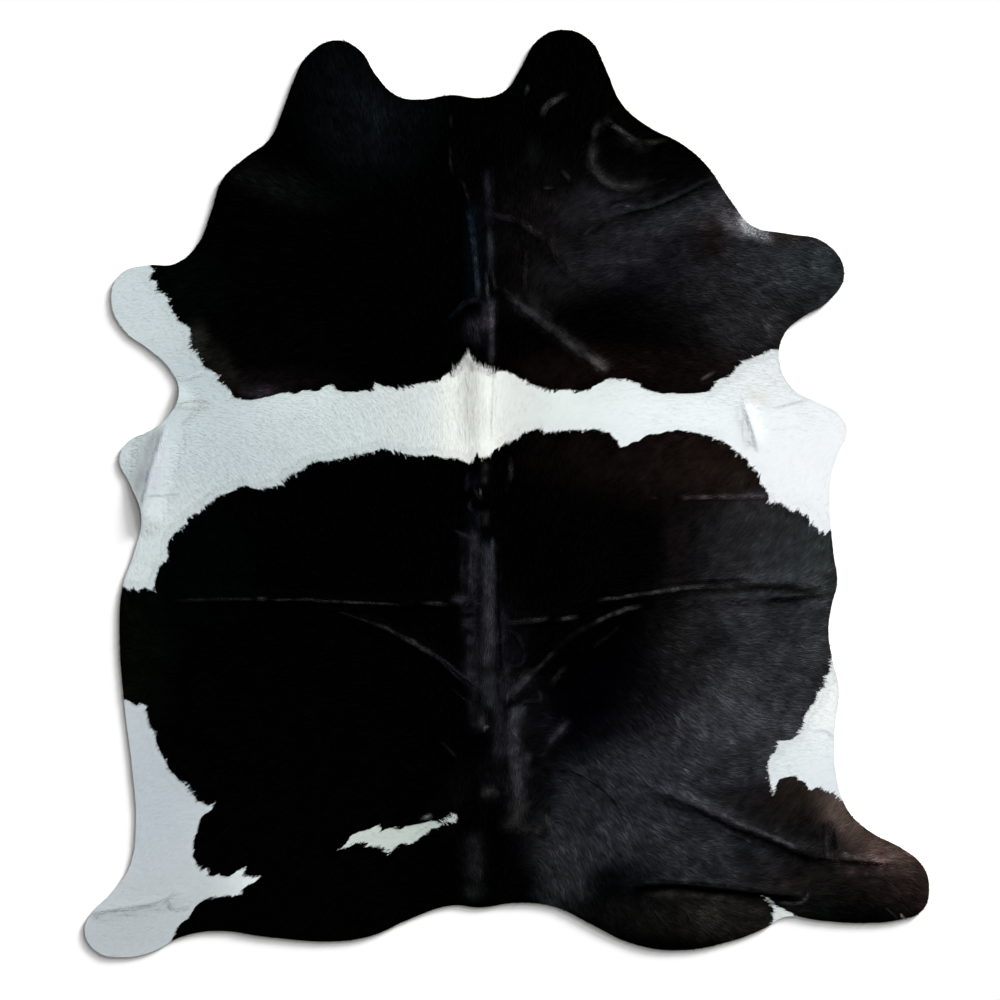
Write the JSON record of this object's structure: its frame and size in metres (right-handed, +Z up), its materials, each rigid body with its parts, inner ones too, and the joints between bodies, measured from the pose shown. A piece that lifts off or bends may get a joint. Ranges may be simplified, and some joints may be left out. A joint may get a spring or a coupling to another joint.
{
  "type": "cowhide rug",
  "caption": "Whole cattle hide rug with neck flaps, legs and tail edge, lying flat, black patches on a white ground.",
  "frame": {"origin": "on the floor, under the middle of the rug's box", "axes": "+Y to the neck, +X to the right of the rug seen from above with its neck up, +Z up from the floor"},
  "size_m": [2.0034, 2.2, 0.015],
  "materials": {
    "hide": "short glossy cattle hair in black and white on suede-backed leather"
  },
  "bodies": {
    "root": {"hide": "hide"}
  },
  "joints": []
}
